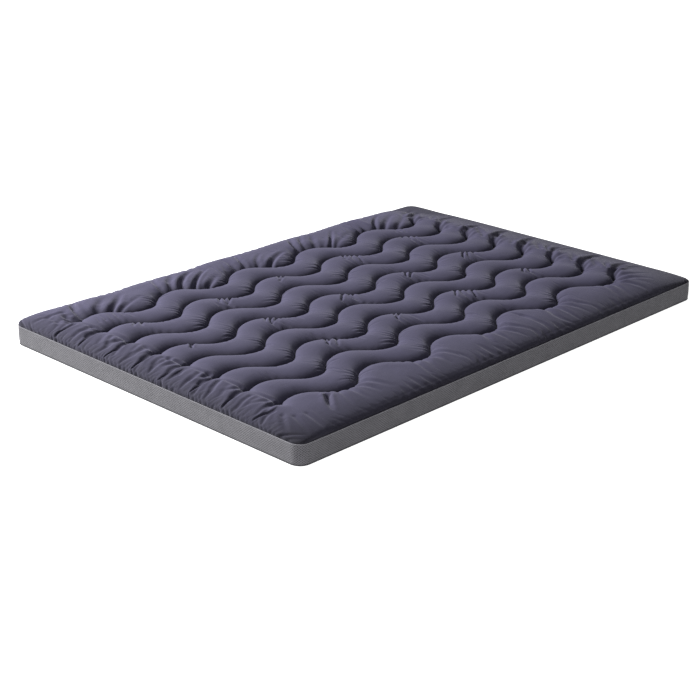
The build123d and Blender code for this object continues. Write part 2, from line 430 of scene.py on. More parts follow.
def foam_material(name, base, cells):
    """Open-cell foam: rounded pores of two sizes, with yellowing in patches."""
    n = Nodes(name)
    co = n.new("ShaderNodeTexCoord").outputs["Object"]
    big = n.voronoi(co, cells, rand=1.0)
    small = n.voronoi(co, cells * 2.7, rand=1.0)
    pore = n.math("MINIMUM", n.span(big, 0.10, 0.55, 0.0, 1.0), n.span(small, 0.05, 0.5, 0.35, 1.0))
    age = n.noise(co, 5, 3, 0.6)
    # painted shade: darker inside the pores
    col = n.ramp(pore, [(0.0, shade(base, 0.52)), (0.5, shade(base, 0.90)), (1.0, base)])
    col = n.mix("MULTIPLY", 1.0, col, n.ramp(age, [(0.32, (1.0, 0.985, 0.94)), (0.68, (1.02, 1.02, 1.02))]))
    n.link(col, n.bsdf.inputs["Base Color"])
    n.link(n.span(pore, 0, 1, 0.98, 0.86), n.bsdf.inputs["Roughness"])
    n.bsdf.inputs["Specular IOR Level"].default_value = 0.2
    n.link(n.bump(pore, 0.9, 0.0012), n.bsdf.inputs["Normal"])
    return n.mat


def fibre_material():
    """Carded polyester fibre: fine crossing strands with soft loft."""
    n = Nodes("carded_fibre")
    co = n.new("ShaderNodeTexCoord").outputs["Object"]
    f1 = n.noise(n.mapped(co, (90, 900, 260)), 1.0, 6, 0.72, 2.2)
    f2 = n.noise(n.mapped(co, (820, 110, 260)), 1.0, 6, 0.72, 2.2)
    tuft = n.noise(co, 34, 4, 0.6, 0.8)
    f = n.math("MAXIMUM", f1, f2)
    base = srgb(240, 240, 236)
    col = n.ramp(f, [(0.38, shade(base, 0.74)), (0.72, base)])
    col = n.mix("MULTIPLY", 1.0, col, n.ramp(tuft, [(0.3, (0.90, 0.90, 0.905)), (0.7, (1, 1, 1))]))
    n.link(col, n.bsdf.inputs["Base Color"])
    n.link(n.span(f, 0.3, 0.8, 0.95, 0.70), n.bsdf.inputs["Roughness"])
    n.bsdf.inputs["Sheen Weight"].default_value = 0.35
    nrm = n.bump(tuft, 0.6, 0.004)
    nrm = n.bump(f, 0.7, 0.0012, nrm)
    n.link(nrm, n.bsdf.inputs["Normal"])
    return n.mat


def thread_material(name, base):
    """Twisted polyester sewing thread: slanting plies along each stitch."""
    n = Nodes(name)
    uv = attribute(n, "ply")
    sep = n.new("ShaderNodeSeparateXYZ")
    n.link(uv, sep.inputs[0])
    tw = n.math("SINE", n.math("ADD", n.math("MULTIPLY", sep.outputs[0], 2 * math.pi / 0.0011), n.math("MULTIPLY", sep.outputs[1], 2 * math.pi * 3)))
    h = n.span(tw, -1, 1, 0, 1)
    lint = n.noise(n.new("ShaderNodeTexCoord").outputs["Object"], 160, 3, 0.6)
    # painted shade and highlight: darker in the grooves between the plies, lighter on their crests
    col = n.ramp(h, [(0.0, shade(base, 0.55)), (0.6, base), (1.0, shade(base, 1.35))])
    col = n.mix("MULTIPLY", 1.0, col, n.ramp(lint, [(0.3, (0.9,) * 3), (0.7, (1.08,) * 3)]))
    n.link(col, n.bsdf.inputs["Base Color"])
    n.link(n.span(h, 0, 1, 0.62, 0.42), n.bsdf.inputs["Roughness"])
    n.bsdf.inputs["Sheen Weight"].default_value = 0.2
    n.link(n.bump(h, 0.6, 0.0002), n.bsdf.inputs["Normal"])
    return n.mat


MAT_QUILT = quilt_material()
MAT_BAND = band_material()
MAT_BASE = woven_material("underside_cloth", srgb(66, 66, 70), 900, None, 0.86, 0.10)
MAT_NONWOVEN = nonwoven_material()
MAT_FOAM_FIRM = foam_material("support_foam_cells", srgb(232, 222, 186), 420)
MAT_FOAM_SOFT = foam_material("comfort_foam_cells", srgb(238, 238, 232), 560)
MAT_FIBRE = fibre_material()
MAT_THREAD = thread_material("quilting_thread_plies", srgb(84, 80, 100))
MAT_SEAM = thread_material("seam_thread_plies", srgb(98, 98, 104))


# ---- the quilted cover, solved as cloth ----------------------------------------------
def row_distance(X, Y, r):
    """Distance to one row of quilting, which ends at ROW_X0 and ROW_X1."""
    gx, gy = np.linspace(-1.0, 1.0, 251), np.linspace(-0.22, 0.22, 56)
    sx = np.linspace(ROW_X0, ROW_X1, 330)
    sy = wave(sx)
    if not len(DISTANCE):
        GX, GY = np.meshgrid(gx, gy, indexing="ij")
        best = np.full(GX.shape, 9.0)
        for k in range(0, 330, 30):
            d = (GX[..., None] - sx[k : k + 30]) ** 2 + (GY[..., None] - sy[k : k + 30]) ** 2
            best = np.minimum(best, d.min(-1))
        DISTANCE.append(np.sqrt(best))
    T = DISTANCE[0]
    y = Y - ROWS[r]
    u = np.clip((X + 1.0) / 2.0 * 250, 0, 249.999)
    v = np.clip((y + 0.22) / 0.44 * 55, 0, 54.999)
    i, j = u.astype(int), v.astype(int)
    a, b = u - i, v - j
    far = (1 - a) * ((1 - b) * T[i, j] + b * T[i, j + 1]) + a * ((1 - b) * T[i + 1, j] + b * T[i + 1, j + 1])
    slope = (wave(X + 0.001) - wave(X - 0.001)) / 0.002
    close = np.abs(y - wave(X)) / np.sqrt(1 + slope**2)
    before, after = np.hypot(X - ROW_X0, y - wave(ROW_X0)), np.hypot(X - ROW_X1, y - wave(ROW_X1))
    close = np.where(X < ROW_X0, before, np.where(X > ROW_X1, after, close))
    t = ease(0.010, 0.018, far)
    return (1 - t) * close + t * np.maximum(far, 0)


DISTANCE = []


def inset_of(X, Y, hx, hy, r):
    """Distance from the edge of a rounded rectangle, inwards."""
    cx, cy = np.abs(X) - (hx - r), np.abs(Y) - (hy - r)
    e = np.minimum(hx - np.abs(X), hy - np.abs(Y))
    return np.maximum(np.where((cx > 0) & (cy > 0), r - np.hypot(cx, cy), e), 0)


def shoulder(u, p):
    """From 0 to 1 like the side of a pillow: steep at first, then level."""
    return (1 - (1 - np.clip(u, 0, 1)) ** p) ** (1 / p)


def add_spots(E, X, Y, spots):
    """Extra cloth in places, as a strain: each spot has a place, the direction its
    folds run in, its reach along and across the folds, and how much cloth is spare."""
    for x, y, angle, along, across, share in spots:
        c, s = math.cos(math.radians(angle)), math.sin(math.radians(angle))
        u, v = (X - x) * c + (Y - y) * s, -(X - x) * s + (Y - y) * c
        g = share * np.exp(-((u / along) ** 2) - (v / across) ** 2)
        E[0] += g * s * s
        E[1] -= g * s * c
        E[2] += g * c * c


def fall_x(k):
    return CREST_X + (k + 0.25) * WAVE_L


def rise_x(k):
    return CREST_X + (k + 0.75) * WAVE_L


def folded(z, X, Y, folds):
    """Presses folds into the filling: each starts at a place, runs in a direction for a
    length, bends a little, and has a depth and a width, with a raised lip on each side."""
    for x, y, angle, length, depth, width, bend, *tail in folds:
        c, s = math.cos(math.radians(angle)), math.sin(math.radians(angle))
        u = ((X - x) * c + (Y - y) * s) / length
        v = (-(X - x) * s + (Y - y) * c - bend * length * u * u) / width
        hit = (u > -0.35) & (u < 1.35) & (np.abs(v) < 4.5)
        uu, vv = u[hit], v[hit]
        t = np.clip(uu, 0, 1)
        stay = tail[0] if tail else 0.0
        end = np.exp(-(((uu - t) * length / width) ** 2)) * (stay + (1 - stay) * (1 - t) ** 0.8)
        z[hit] -= depth * end * (np.exp(-(vv**2)) - 0.30 * np.exp(-(((np.abs(vv) - 1.9) / 0.9) ** 2)))
    return z


def fan(rng, x, y, angles, length, depth, width, gap, along=0.0):
    """A group of folds side by side that spread like a fan."""
    n = len(angles)
    c, s = math.cos(along), math.sin(along)
    return [
        (
            x + (k - (n - 1) / 2) * gap * c + rng.uniform(-1, 1) * 0.12 * gap,
            y + (k - (n - 1) / 2) * gap * s,
            a + rng.uniform(-6, 6),
            length * rng.uniform(0.75, 1.2),
            depth * rng.uniform(0.6, 1.15),
            width * rng.uniform(0.85, 1.2),
            rng.uniform(-0.12, 0.12),
        )
        for k, a in enumerate(angles)
    ]


def make_folds():
    rng = np.random.default_rng(17)
    out = []
    # puckers across the falling flanks of every other channel
    for k in range(5):
        for y in (0.28, 0.0, -0.28):
            n = int(rng.integers(2, 5)) if k else int(rng.integers(0, 3))
            if n:
                x = fall_x(k) + rng.uniform(-0.022, 0.012)
                for i in range(n):
                    px = x + (i - (n - 1) / 2) * 0.0135 + rng.uniform(-0.003, 0.003)
                    py = y + 0.07 + float(wave(np.float64(px))) - 0.010
                    out.append((px, py, 228 + rng.uniform(-10, 10), 0.074 * rng.uniform(0.7, 1.15), 0.0085 * rng.uniform(0.45, 1.15), 0.0046, rng.uniform(-0.15, 0.15), 0.55))
    # one soft crease across the rising flanks of the channels between them
    for k in range(-1, 5):
        for y in (0.42, 0.14, -0.14, -0.42):
            if rng.uniform() < 0.75 and rise_x(k) > ROW_X0 + 0.02:
                out.append((rise_x(k) - 0.028 + rng.uniform(-0.02, 0.02), y + 0.018, 128 - 60 + rng.uniform(-12, 12), 0.055, 0.0026 * rng.uniform(0.5, 1.3), 0.0050, 0.35))
    # wrinkles that fan out from the tight side of each rising flank, across the channel
    for r, y in enumerate(ROWS):
        for k in range(-1, 5):
            xf = rise_x(k)
            if ROW_X0 + 0.02 < xf < ROW_X1 - 0.02:
                n = int(rng.integers(3, 6))
                for i in range(n):
                    px = xf - 0.012 + (i - (n - 1) / 2) * 0.0105 + rng.uniform(-0.003, 0.003)
                    py = y + float(wave(np.float64(px))) + 0.003
                    a = 146 - (i - (n - 1) / 2) * 12 + rng.uniform(-6, 6)
                    out.append((px - 0.002, py, a, 0.062 * rng.uniform(0.6, 1.2), 0.0058 * rng.uniform(0.4, 1.15), 0.0036, rng.uniform(-0.15, 0.25)))
                # and a few short ones on the other side of the line
                for i in range(int(rng.integers(0, 3))):
                    px = xf + rng.uniform(-0.010, 0.020)
                    out.append((px + 0.003, y + float(wave(np.float64(px))), -28 + rng.uniform(-16, 16), 0.050 * rng.uniform(0.6, 1.2), 0.0034 * rng.uniform(0.5, 1.2), 0.0040, 0.0))
    # five pleats at the left end of the last channel
    out += fan(rng, -0.785, 0.435, [70, 72, 75, 78, 80], 0.05, 0.0028, 0.0045, 0.024)
    out += fan(rng, 0.62, 0.405, [55, 55, 58], 0.04, 0.0026, 0.0042, 0.017, -FLANK)
    # big slanting folds behind the last row
    for k, n in ((-1, 3), (0, 5), (1, 5), (2, 4), (3, 5), (4, 5)):
        x = fall_x(k) if k >= 0 else -0.86
        if k == 0:
            x -= 0.03
        for i in range(n):
            px = x - 0.022 + (i - (n - 1) / 2) * 0.034 + rng.uniform(-0.011, 0.011)
            py = ROWS[-1] + float(wave(np.float64(np.clip(px, ROW_X0, ROW_X1)))) + 0.010
            out.append((px, py + 0.004, 78 - 13 * i + rng.uniform(-9, 9), 0.150 * rng.uniform(0.6, 1.1), 0.0125 * rng.uniform(0.45, 1.2), 0.0086 * rng.uniform(0.8, 1.6), rng.uniform(-0.30, 0.15), 0.2))
    # folds from the rows' first stitches out to the left seam
    for r, y in enumerate(ROWS):
        ye = y + float(wave(np.float64(ROW_X0)))
        # the mouth of the channel closes along the edge, and the apron hangs from it
        out.append((ROW_X0 - 0.002, ye, 112 + rng.uniform(-8, 8), 0.080 * rng.uniform(0.8, 1.15), 0.0070 * rng.uniform(0.7, 1.1), 0.0075, -0.18))
        out.append((ROW_X0 - 0.002, ye, 150 + rng.uniform(-8, 8), 0.085 * rng.uniform(0.8, 1.1), 0.0045 * rng.uniform(0.6, 1.1), 0.0080, 0.18, 0.3))
        out.append((ROW_X0 - 0.002, ye, 196 + rng.uniform(-8, 8), 0.120 * rng.uniform(0.9, 1.1), 0.0060 * rng.uniform(0.7, 1.1), 0.0080, 0.10, 0.35))
        for i in range(3):
            out.append((-0.880 + rng.uniform(-0.03, 0.02), y + 0.034 + 0.036 * i + rng.uniform(-0.012, 0.012), 200 + rng.uniform(-20, 20), 0.105 * rng.uniform(0.6, 1.1), 0.0042 * rng.uniform(0.3, 1.2), 0.0072 * rng.uniform(0.8, 1.5), rng.uniform(-0.2, 0.2), 0.4))
    # soft creases that carry the rows on past their last stitches
    for r, y in enumerate(ROWS):
        ye = y + float(wave(np.float64(ROW_X1)))
        out.append((ROW_X1, ye, 42 + rng.uniform(-8, 8), 0.140 * rng.uniform(0.85, 1.15), 0.0140 * rng.uniform(0.75, 1.1), 0.0125, -0.25 + rng.uniform(-0.08, 0.08), 0.30))
        out.append((ROW_X1, ye, -6 + rng.uniform(-10, 10), 0.085 * rng.uniform(0.8, 1.2), 0.0055 * rng.uniform(0.6, 1.1), 0.0090, rng.uniform(-0.1, 0.2)))
        for i in range(4):
            out.append((ROW_X1 + rng.uniform(0.0, 0.08), ye + 0.025 + 0.024 * i + rng.uniform(-0.008, 0.008), rng.uniform(12, 62), 0.080 * rng.uniform(0.6, 1.2), 0.0048 * rng.uniform(0.4, 1.2), 0.0078 * rng.uniform(0.8, 1.3), rng.uniform(-0.3, 0.3), 0.2))
    # long shallow pleats from the front row down to the front seam
    for k in range(6):
        xb = CREST_X + (k + 0.5) * WAVE_L
        if xb < ROW_X1 - 0.02:
            for i in range(4):
                a = 270 + (i - 1.5) * 17 + rng.uniform(-6, 6)
                out.append((xb + (i - 1.5) * 0.034, ROWS[0] - WAVE_A * 0.75 - 0.014, a, 0.150 * rng.uniform(0.7, 1.1), 0.0034 * rng.uniform(0.4, 1.2), 0.0085 * rng.uniform(0.8, 1.3), rng.uniform(-0.10, 0.10)))
    out += [
        (-0.735, -0.548, 226, 0.105, 0.0140, 0.0080, 0.12),
        (-0.93, -0.560, 232, 0.09, 0.0035, 0.0080, 0.0, 0.4),
        (-0.91, -0.590, 250, 0.09, 0.0030, 0.0080, 0.0, 0.4),
        (-0.87, -0.600, 262, 0.09, 0.0030, 0.0080, 0.0, 0.4),
        (-0.95, -0.520, 205, 0.06, 0.0030, 0.0070, 0.0, 0.4),
        (0.74, -0.545, -28, 0.13, 0.0050, 0.0100, -0.15),
        (0.80, -0.535, -18, 0.11, 0.0040, 0.0090, -0.10),
        (0.84, -0.500, 5, 0.10, 0.0040, 0.0090, 0.10),
    ]
    return out


SPOTS = []
# short puckers across the falling flanks of every other channel
for k, amounts in enumerate([(0.02, 0.0, 0.02), (0.05, 0.06, 0.055), (0.0, 0.05, 0.045), (0.055, 0.06, 0.06), (0.05, 0.055, 0.05)]):
    for y, share in zip((0.28, 0.0, -0.28), amounts):
        if share:
            SPOTS.append((fall_x(k) - 0.012, y, 55, 0.045, 0.034, 1.3 * share))
# and a softer crease across the rising flanks of the channels between them
for x, y, share in [(-0.57, 0.14, 0.03), (-0.56, 0.42, 0.03), (0.12, 0.14, 0.03), (0.14, 0.42, 0.03), (0.44, 0.14, 0.03), (0.44, -0.42, 0.03), (0.11, -0.42, 0.03), (-0.57, -0.42, 0.03), (-0.23, -0.42, 0.03), (-0.23, -0.14, 0.02), (0.12, -0.14, 0.02)]:
    SPOTS.append((x, y, 125, 0.045, 0.022, share))
SPOTS += [
    (0.62, 0.43, 60, 0.035, 0.035, 0.05),
    (-0.79, 0.46, 75, 0.05, 0.06, 0.08),
    (-0.38, -0.20, 60, 0.03, 0.03, 0.05),
]
# big slanting folds behind the last row, and the few in front of the first
SPOTS += [
    (-0.36, 0.55, 60, 0.07, 0.05, 0.10),
    (-0.10, 0.55, 60, 0.07, 0.05, 0.09),
    (0.30, 0.55, 55, 0.07, 0.05, 0.10),
    (0.60, 0.55, 55, 0.07, 0.05, 0.09),
    (-0.78, 0.60, 50, 0.07, 0.06, 0.09),
    (-0.70, 0.56, 40, 0.05, 0.04, 0.05),
    (-0.77, -0.58, 40, 0.06, 0.022, 0.10),
    (0.80, -0.56, -35, 0.07, 0.03, 0.08),
    (0.15, -0.56, 100, 0.05, 0.12, 0.03),
    (0.50, -0.56, 100, 0.05, 0.12, 0.035),
    (-0.30, -0.56, 95, 0.05, 0.10, 0.015),
]


class Cloth:
    """An inextensible sheet on a grid whose lines follow the quilting rows. It is cut to
    lie over the filling, with some spare cloth. It is sewn down along the rows and round
    the edge, the filling pushes it out from below, and the spare cloth has to buckle."""

    def __init__(self, nx, nc, nb, cfg):
        xs = steps(-HX, HX, nx, 0.6, 0.6, 0.03)
        js = [steps(-HY, ROWS[0], nb, 0.55, 0.45)]
        rowj = [nb]
        for a, b in zip(ROWS[:-1], ROWS[1:]):
            js.append(steps(a, b, nc, 0.45, 0.45)[1:])
            rowj.append(rowj[-1] + nc)
        js.append(steps(ROWS[-1], HY, nb, 0.45, 0.55)[1:])
        X, S = np.meshgrid(xs, np.concatenate(js), indexing="ij")
        fade = (1 - ease(abs(ROWS[0]), HY, np.abs(S))) * ease(-HX, ROW_X0 - 0.02, X) * (1 - ease(ROW_X1 + 0.02, HX, X))
        X, Y = rounded(X, S + wave(X) * fade, HX, HY, RC)
        self.nx, self.ns = X.shape
        self.rowj = rowj
        self.cfg = cfg
        self.rest_xy = (X.astype(f4), Y.astype(f4))
        self.w = np.ones_like(X, f4)
        self.w[0] = self.w[-1] = 0
        self.w[:, 0] = self.w[:, -1] = 0
        self.on_row = (xs >= ROW_X0) & (xs <= ROW_X1)
        for j in rowj:
            self.w[self.on_row, j] = 0
        self.edge = inset_of(X, Y, HX, HY, RC)
        self.fill = self.filling(X, Y)
        self.spare = self.spare_cloth(X, Y)
        self.roof = (self.fill + 0.0028).astype(f4)
        z = self.fill + 0.0004 * ripple(X, Y, 0.03, 5) * ease(0, 0.02, self.edge)
        z[0] = z[-1] = SEAM_Z
        z[:, 0] = z[:, -1] = SEAM_Z
        for r, j in enumerate(rowj):
            z[self.on_row, j] = (ROW_Z + 0.0006 * ripple(X[:, j], 0 * X[:, j] + r, 0.05, 11 + r))[self.on_row]
        self.base = (X, Y, z)
        self.P = [X.astype(f4), Y.astype(f4), z.astype(f4)]
        self.springs = []
        far = cfg["span"]
        for di, dj, stiff in ((1, 0, 1.0), (0, 1, 1.0), (1, 1, cfg["shear"]), (1, -1, cfg["shear"]), (far, 0, cfg["bend"]), (0, far, cfg["bend"]), (2 * far, 0, -cfg["bend"]), (0, 2 * far, -cfg["bend"])):
            self.add(di, dj, stiff)

    def filling(self, X, Y):
        """The height the filling wants: a pillow between each pair of rows."""
        D = [row_distance(X, Y, r) for r in range(8)]
        ns = X.shape[1]
        low, up = np.full(X.shape, 9.0), np.full(X.shape, 9.0)
        for r, j in enumerate(self.rowj):
            hi = self.rowj[r + 1] if r < 7 else ns
            low[:, j:hi] = D[r][:, j:hi]
            lo = self.rowj[r - 1] if r else 0
            up[:, lo:j] = D[r][:, lo:j]
        near = np.minimum(low, up)
        width = np.clip((low + up) / 2, 0.045, 0.075)
        width = np.where((low > 8) | (up > 8), 0.066, width)
        u = near / width
        h = self.cfg["crown"] * (width / 0.066) ** 0.6 * (1 + 0.03 * ripple(X, Y, 0.16, 3).clip(-1.5, 1.5))
        z = ROW_Z + h * shoulder(u, self.cfg["round"])
        # the filling thins out towards the edges, most of all at the far short side
        sag = 1 - 0.50 * ease(0.79, 0.96, X) - 0.12 * (1 - ease(0.0, 0.13, HX + X)) - 0.15 * (1 - ease(0.0, 0.15, HY - Y))
        sag = sag - 0.62 * np.exp(-((X - 0.94) ** 2 + (Y - 0.64) ** 2) / 0.17**2)
        z = np.where(z > ROW_Z, ROW_Z + (z - ROW_Z) * sag.clip(0.12), z)
        roll = shoulder((HX + X) / 0.075, 2.0) * shoulder((HX - X) / 0.150, 2.0) * shoulder((HY - Y) / 0.080, 2.0) * shoulder((HY + Y) / 0.135, 2.0)
        z = SEAM_Z + (z - SEAM_Z) * np.minimum(roll, shoulder(self.edge / 0.060, 2.0))
        room = ease(0.0, 0.045, self.edge)
        return z + (folded(np.zeros_like(z), X, Y, make_folds())) * (0.15 + 0.85 * room) * ease(0.0, 0.008, self.edge)

    def spare_cloth(self, X, Y):
        """Spare cloth as a strain in x, xy and y."""
        m = np.gradient(Y, axis=0) / np.maximum(np.gradient(X, axis=0), 1e-9)
        l = np.sqrt(1 + m * m)
        tx, ty = 1 / l, m / l
        inner = ease(0.02, 0.10, self.edge)
        along = (self.cfg["along"] + self.cfg["along"] * 0.8 * ripple(X, Y, 0.10, 7)).clip(0.002) * inner + 0.012 * (1 - inner)
        E = [along * tx * tx, along * tx * ty, along * ty * ty]
        ends = (1 - ease(0.0, 0.15, HX - np.abs(X))) * ease(0.02, 0.08, HY - np.abs(Y))
        ends = ends * (1 - 0.75 * (X > 0))
        E[2] = E[2] + self.cfg["gather"] * ends * (1 + 0.6 * ripple(X * 0.3, Y, 0.07, 9)).clip(0.1)
        sides = (1 - ease(0.0, 0.08, HY - np.abs(Y))) * ease(0.02, 0.08, HX - np.abs(X))
        E[0] = E[0] + 0.006 * sides
        add_spots(E, X, Y, SPOTS)
        return E

    def add(self, di, dj, stiff):
        """Springs from (i, j) to (i + di, j + dj), in groups in which no vertex is shared."""
        X, Y, Z = self.base
        nx, ns = self.nx, self.ns
        if di == 0:
            groups = [((slice(0, nx), slice(k + c, ns - dj, 2 * dj)), (slice(0, nx), slice(k + c + dj, ns, 2 * dj))) for k in range(dj) for c in (0, dj)]
        else:
            ja, jb = (slice(0, ns - dj), slice(dj, ns)) if dj >= 0 else (slice(-dj, ns), slice(0, ns + dj))
            groups = [((slice(k + c, nx - di, 2 * di), ja), (slice(k + c + di, nx, 2 * di), jb)) for k in range(di) for c in (0, di)]
        for A, B in groups:
            if 0 in X[A].shape:
                continue
            dx, dy, dz = X[A] - X[B], Y[A] - Y[B], Z[A] - Z[B]
            exx, exy, eyy = ((q[A] + q[B]) for q in self.spare)
            rest = np.sqrt(dx * dx + dy * dy + dz * dz + exx * dx * dx + 2 * exy * dx * dy + eyy * dy * dy).astype(f4)
            wa, wb = self.w[A], self.w[B]
            t = np.maximum(wa + wb, 1e-9)
            hold = np.full(wa.shape, abs(stiff), f4)
            if stiff < 0:
                # the longest springs keep the folds broad where the cloth is loose
                loose = (np.abs(Y[A]) > ROWS[-1] + WAVE_A) | (X[A] < ROW_X0) | (X[B] > ROW_X1 + 0.01)
                hold *= loose & (HX - np.abs(X[A]) > 0.05)
            if dj > 1:
                # no stiffness across a stitched row, where the cloth folds sharply,
                # and little in the fine gathers along the two short sides
                js = np.arange(ns)[A[1]]
                for j in self.rowj:
                    hold[np.ix_(self.on_row[A[0]], (js < j) & (js + dj > j))] = 0
                hold *= (0.15 + 0.85 * ease(0.01, 0.07, HX - np.abs(X[A]))).astype(f4)
            self.springs.append((A, B, rest, (wa / t * hold).astype(f4), (wb / t * hold).astype(f4)))

    def project(self):
        PX, PY, PZ = self.P
        for A, B, rest, wa, wb in self.springs:
            dx = PX[B] - PX[A]
            dy = PY[B] - PY[A]
            dz = PZ[B] - PZ[A]
            c = 1 - rest / np.sqrt(dx * dx + dy * dy + dz * dz)
            dx *= c
            dy *= c
            dz *= c
            PX[A] += wa * dx
            PY[A] += wa * dy
            PZ[A] += wa * dz
            PX[B] -= wb * dx
            PY[B] -= wb * dy
            PZ[B] -= wb * dz

    def normals(self):
        a = [np.gradient(q, axis=0) for q in self.P]
        b = [np.gradient(q, axis=1) for q in self.P]
        n = [a[1] * b[2] - a[2] * b[1], a[2] * b[0] - a[0] * b[2], a[0] * b[1] - a[1] * b[0]]
        l = np.sqrt(n[0] ** 2 + n[1] ** 2 + n[2] ** 2) + 1e-12
        return [(q / l).astype(f4) for q in n]

    def contact(self, gap=0.0005):
        """Neighbouring channels press on each other above a stitched row, and nothing
        goes below the backing or far outside the border."""
        PX, PY, PZ = self.P
        on = np.nonzero(self.on_row)[0]
        i0, i1 = on[0], on[-1] + 1
        w = wave(PX[i0:i1]).astype(f4)
        for r, j in enumerate(self.rowj):
            up = slice(j + 1, self.rowj[r + 1] if r + 1 < len(self.rowj) else self.ns - 1)
            a = PY[i0:i1, up]
            np.maximum(a, w[:, up] + f4(ROWS[r] + gap), out=a)
            dn = slice(self.rowj[r - 1] + 1 if r else 1, j)
            a = PY[i0:i1, dn]
            np.minimum(a, w[:, dn] + f4(ROWS[r] - gap), out=a)
        np.maximum(PZ, f4(SEAM_Z), out=PZ)
        np.minimum(PZ, self.roof, out=PZ)
        np.clip(PX, -HALF_L - 0.0005, HALF_L + 0.0005, out=PX)
        np.clip(PY, -HALF_W - 0.0005, HALF_W + 0.0005, out=PY)

    def relax(self, count, push, keep):
        V = [np.zeros_like(q) for q in self.P]
        free = (self.w > 0).astype(f4)
        want = self.fill.astype(f4)
        for k in range(count):
            if k % 3 == 0:
                n = self.normals()
            g = (f4(0.25) + np.clip((want - self.P[2]) / f4(0.025), -1, 1)) * f4(push) * free
            old = [q.copy() for q in self.P]
            for q, v, m in zip(self.P, V, n):
                q += v * f4(keep) + g * m
            self.project()
            self.contact()
            for a in range(3):
                V[a] = np.clip(self.P[a] - old[a], -0.002, 0.002) * free

    def start_from(self, a):
        """Takes the shape of a coarser sheet."""
        ui = np.linspace(0, a.nx - 1, self.nx)
        uj = np.interp(np.arange(self.ns), [0] + self.rowj + [self.ns - 1], [0] + a.rowj + [a.ns - 1])
        i0 = np.clip(ui.astype(int), 0, a.nx - 2)
        j0 = np.clip(uj.astype(int), 0, a.ns - 2)
        fi, fj = (ui - i0)[:, None], (uj - j0)[None]
        move = self.w > 0
        for q in range(3):
            d = a.P[q] - (a.base[q] if q < 3 else 0)
            r = (1 - fi) * ((1 - fj) * d[i0][:, j0] + fj * d[i0][:, j0 + 1]) + fi * ((1 - fj) * d[i0 + 1][:, j0] + fj * d[i0 + 1][:, j0 + 1])
            new = (r + self.base[q]).astype(f4)
            self.P[q][move] = new[move]

    def flat_map(self):
        """Each point's place on the flat cloth, and the flat cloth's size."""
        X, Y, Z = self.base
        out = []
        for axis in (0, 1):
            d = [np.diff(q, axis=axis) for q in (X, Y, Z)]
            mid = [(q[1:] + q[:-1]) if axis == 0 else (q[:, 1:] + q[:, :-1]) for q in self.spare]
            L = np.sqrt(d[0] ** 2 + d[1] ** 2 + d[2] ** 2 + mid[0] * d[0] ** 2 + 2 * mid[1] * d[0] * d[1] + mid[2] * d[1] ** 2)
            c = np.concatenate([np.zeros_like(L[:1]) if axis == 0 else np.zeros_like(L[:, :1]), np.cumsum(L, axis=axis)], axis=axis)
            total = c[-1:] if axis == 0 else c[:, -1:]
            out.append((c - total / 2, float(np.median(total))))
        return out[0][0], out[1][0], out[0][1], out[1][1]


CLOTH = dict(crown=0.0270, round=2.0, along=0.014, gather=0.070, shear=0.6, bend=0.3, span=3)
coarse = Cloth(250, 14, 20, CLOTH)
coarse.relax(300, 1.2e-4, 0.95)
cloth = Cloth(640, 40, 54, CLOTH)
cloth.start_from(coarse)
cloth.relax(260, 6e-5, 0.94)
print("cover z", float(cloth.P[2].max()), "mean", float(cloth.P[2].mean()))


def cover_piece():
    nx, ns = cloth.nx, cloth.ns
    co = np.stack(cloth.P, -1).astype(float)
    fu, fv, flat_l, flat_w = cloth.flat_map()
    flat = np.stack([fu, fv, 0 * fu], -1)
    # crown: 0 at the stitching to 1 on the crowns; the cover material paints shade into the creases and lighter colour
    # onto the crowns from it
    crown = np.clip((co[..., 2] - ROW_Z) / 0.024, 0, 1)
    # painted shade: a colour factor that falls towards the left (0.70), right (0.55) and front (0.66) edges; the rear
    # edge has none
    margin = 0.70 + 0.30 * ease(0, 0.13, HX + co[..., 0])
    margin = margin * (0.55 + 0.45 * ease(0, 0.24, HX - co[..., 0])) * (0.66 + 0.34 * ease(0, 0.18, HY + co[..., 1]))
    rim = rim_index(nx, ns)
    quads = [grid_quads(nx, ns)]
    pts, fl, cr = [co.reshape(-1, 3)], [flat.reshape(-1, 3)], [crown.ravel()]
    # the hem: turned under the seam and in towards the core
    edge = co.reshape(-1, 3)[rim]
    fe = flat.reshape(-1, 3)[rim]
    inward = -np.sign(edge[:, :2]) * (np.abs(edge[:, :2]) > np.array([HX - RC, HY - RC]))
    d = np.abs(edge[:, :2]) - np.array([HX - RC, HY - RC])
    corner = (d > 0).all(1)
    inward[corner] = -np.sign(edge[corner, :2]) * d[corner] / RC
    prev = rim
    base = nx * ns
    for step, drop in ((0.0012, 0.0005), (0.0035, 0.0008), (0.0065, 0.0008)):
        p = edge.copy()
        p[:, :2] += inward * step
        p[:, 2] -= drop
        f = fe.copy()
        f[:, :2] -= inward * step
        idx = base + np.arange(len(rim))
        base += len(rim)
        quads.append(np.stack([prev, idx, np.roll(idx, -1), np.roll(prev, -1)], 1)[:, ::-1][:, ::-1])
        pts.append(p); fl.append(f); cr.append(np.zeros(len(rim)))
        prev = idx
    # the painted edge shade, repeated for the three rows of the hem
    edge_shade_points = np.concatenate([margin.ravel()] + [margin.ravel()[rim]] * 3)
    q = np.concatenate(quads)
    ob = mesh_object(
        "quilted_top_cover", np.concatenate(pts), q, [MAT_QUILT],
        attributes=[("flat", "FLOAT_VECTOR", np.concatenate(fl)), ("crown", "FLOAT", np.concatenate(cr)), ("margin", "FLOAT", edge_shade_points)],
    )
    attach(ob, "root")
    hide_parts("top_cover")
    ext = [flat_l + 0.013, flat_w + 0.013]
    return ob, ext


cover, cover_flat = cover_piece()
print("cover flat", cover_flat)


